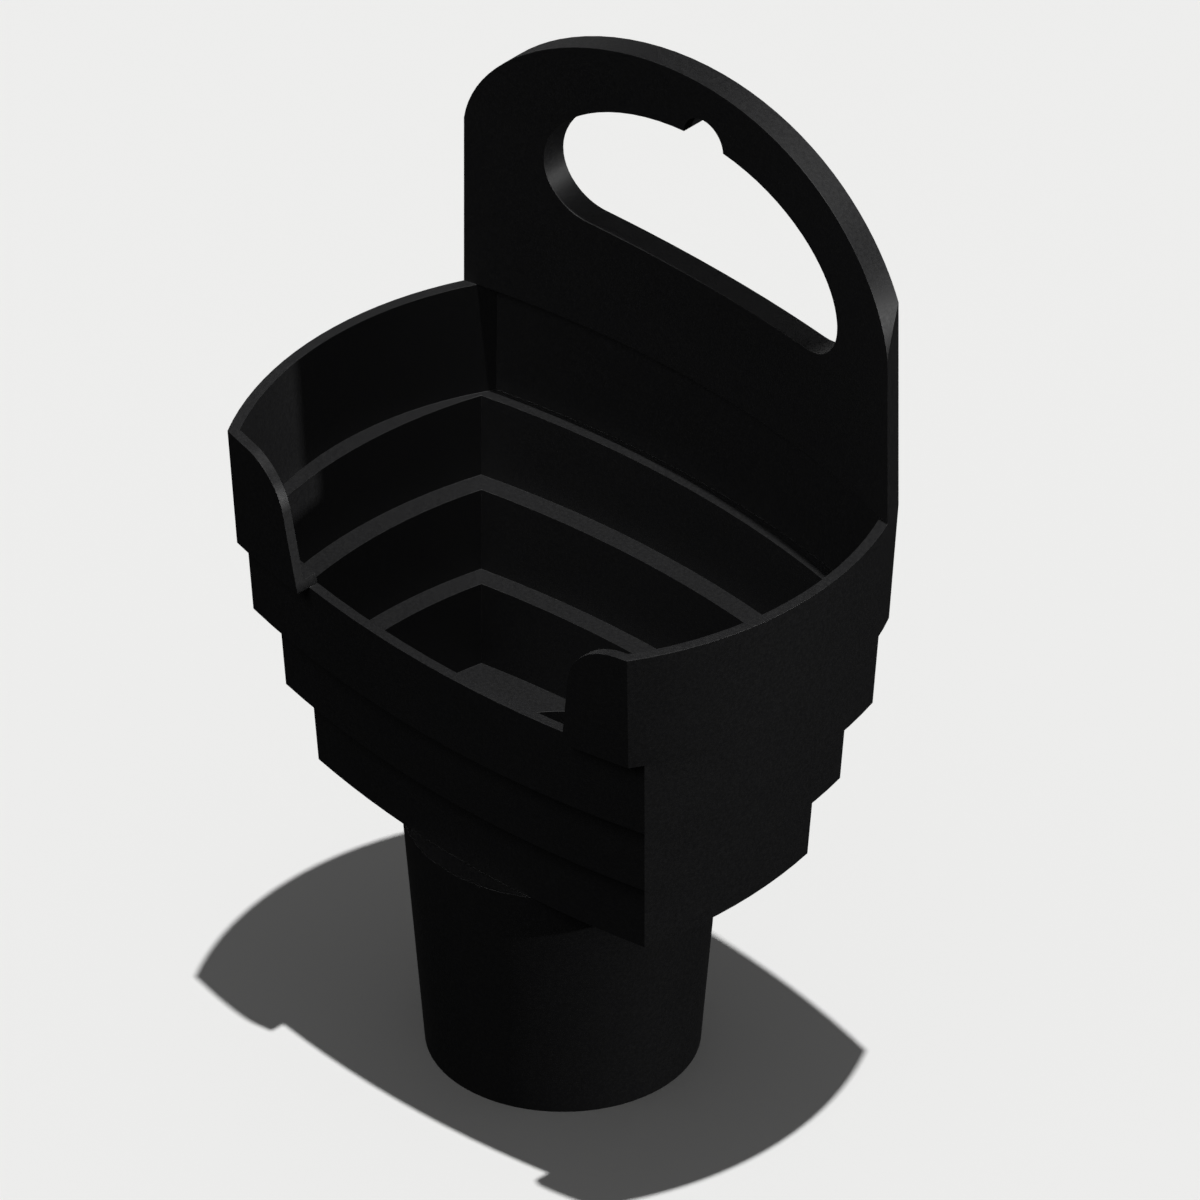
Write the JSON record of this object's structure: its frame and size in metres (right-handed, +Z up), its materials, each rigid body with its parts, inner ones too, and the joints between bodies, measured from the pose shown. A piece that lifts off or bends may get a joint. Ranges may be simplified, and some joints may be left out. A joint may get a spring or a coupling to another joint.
{
  "type": "car cup holder",
  "caption": "Stepped tray with bowed walls on a hollow tapered plug that stands in a car's cup holder, with a tall arched back plate that has a handle hole.",
  "frame": {"origin": "centre of the plug's flat underside", "axes": "+Z up, +X to the right along the tray's width, +Y from the low front wall to the back plate"},
  "size_m": [0.145, 0.0943, 0.23],
  "materials": {
    "moulded_plastic": "satin"
  },
  "bodies": {
    "root": {"holder_body": "moulded_plastic"}
  },
  "joints": []
}
